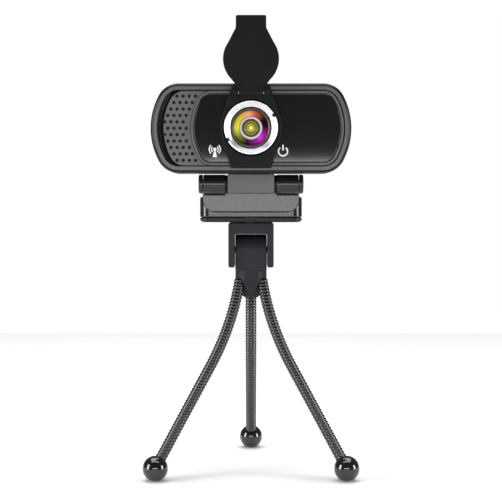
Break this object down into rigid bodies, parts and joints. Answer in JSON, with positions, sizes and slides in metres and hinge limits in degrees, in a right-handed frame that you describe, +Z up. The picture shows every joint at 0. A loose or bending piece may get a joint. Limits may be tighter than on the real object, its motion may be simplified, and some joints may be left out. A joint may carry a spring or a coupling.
{
  "type": "webcam on tripod",
  "caption": "Webcam with a flip-up privacy cover on a folding clip stand, standing on a small tripod with flexible gooseneck legs and ball feet.",
  "frame": {"origin": "on the ground under the middle of the whole object's box", "axes": "+Z up, the lens looks along -Y, +X to the viewer's right as seen from the front"},
  "size_m": [0.1018, 0.1017, 0.2148],
  "materials": {
    "head_plastic": "satin moulded",
    "gooseneck": "black coated steel coil",
    "ball_plastic": "polished",
    "copper_brass": "turned, copper coloured",
    "brass": "turned",
    "steel": "plain",
    "clip_plastic": "satin moulded",
    "cover_plastic": "matt moulded",
    "pad_rubber": "matt",
    "grey_plastic": "satin moulded",
    "shell_plastic": "satin moulded",
    "rim_plastic": "polished",
    "panel_acrylic": "polished",
    "inner_plastic": "matt black",
    "chip": "glossy",
    "filter_glass": "coated",
    "board": "solder mask",
    "clear_plastic": "clear or white",
    "adhesive": "foam tape",
    "ring_metal": "turned and anodised",
    "lens_glass": "coated"
  },
  "bodies": {
    "hub": {"leg_hub": "head_plastic", "tilt_pin": "steel"},
    "leg_back": {"leg_rear": "gooseneck", "foot_rear": "ball_plastic"},
    "leg_left": {"leg_front_left": "gooseneck", "foot_front_left": "ball_plastic"},
    "leg_right": {"leg_front_right": "gooseneck", "foot_front_right": "ball_plastic"},
    "head": {"head_clevis": "head_plastic", "tripod_screw": "copper_brass"},
    "base": {"base_shell": "clip_plastic", "base_bottom": "cover_plastic", "base_pad": "pad_rubber", "tripod_insert": "brass", "base_screw_left": "steel", "base_screw_right": "steel", "arm_hinge_pin": "steel", "arm_hinge_cap_left": "clip_plastic", "arm_hinge_cap_right": "clip_plastic"},
    "arm": {"clip_arm": "clip_plastic", "arm_pad": "pad_rubber", "camera_hinge_pin": "steel", "camera_hinge_cap_left": "clip_plastic", "camera_hinge_cap_right": "clip_plastic", "friction_washer_left": "steel", "friction_washer_right": "steel"},
    "camera": {"hinge_lug": "grey_plastic", "rear_shell": "shell_plastic", "front_bezel": "rim_plastic", "mic_grille": "grey_plastic", "panel_surround": "grey_plastic", "front_panel": "panel_acrylic", "lens_barrel": "cover_plastic", "lens_mount": "inner_plastic", "image_sensor": "chip", "ir_filter": "filter_glass", "main_board": "board", "microphone": "pad_rubber", "light_pipe_signal": "clear_plastic", "light_pipe_power": "clear_plastic", "led_signal": "clear_plastic", "led_power": "clear_plastic", "cable_connector": "clear_plastic", "cable_gland": "pad_rubber", "case_screw_1": "steel", "case_screw_2": "steel", "case_screw_3": "steel", "case_screw_4": "steel", "board_screw_left": "steel", "board_screw_right": "steel", "cover_frame": "cover_plastic", "cover_adhesive": "adhesive", "cover_hinge_pin": "steel"},
    "focus": {"focus_ring": "ring_metal", "lens_cell": "inner_plastic", "lens_retaining_ring": "inner_plastic", "front_lens": "lens_glass", "second_lens": "lens_glass"},
    "flap": {"cover_flap": "cover_plastic"}
  },
  "joints": [
    {"name": "leg_back_bend", "type": "hinge", "parent": "hub", "child": "leg_back", "pos_m": [0, -0.00089, 0.0933], "axis": [1, 0, 0], "range_deg": [-20, 35]},
    {"name": "leg_left_bend", "type": "hinge", "parent": "hub", "child": "leg_left", "pos_m": [-0.00537, -0.01019, 0.0933], "axis": [-0.5, 0.866, 0], "range_deg": [-20, 35]},
    {"name": "leg_right_bend", "type": "hinge", "parent": "hub", "child": "leg_right", "pos_m": [0.00537, -0.01019, 0.0933], "axis": [-0.5, -0.866, 0], "range_deg": [-20, 35]},
    {"name": "head_tilt", "type": "hinge", "parent": "hub", "child": "head", "pos_m": [0, -0.00709, 0.1077], "axis": [1, 0, 0], "range_deg": [-90, 90]},
    {"name": "webcam_pan", "type": "hinge", "parent": "head", "child": "base", "pos_m": [0, -0.00709, 0.121], "axis": [0, 0, 1], "continuous": true},
    {"name": "clip_fold", "type": "hinge", "parent": "base", "child": "arm", "pos_m": [0, 0.01271, 0.1315], "axis": [-1, 0, 0], "range_deg": [0, 110]},
    {"name": "camera_tilt", "type": "hinge", "parent": "arm", "child": "camera", "pos_m": [0, -0.03269, 0.1392], "axis": [1, 0, 0], "range_deg": [-10, 90]},
    {"name": "cover_flip", "type": "hinge", "parent": "camera", "child": "flap", "pos_m": [0, -0.04979, 0.1799], "axis": [1, 0, 0], "range_deg": [0, 180]},
    {"name": "focus_turn", "type": "hinge", "parent": "camera", "child": "focus", "pos_m": [0, -0.04369, 0.1646], "axis": [0, 1, 0], "range_deg": [-90, 90]}
  ]
}
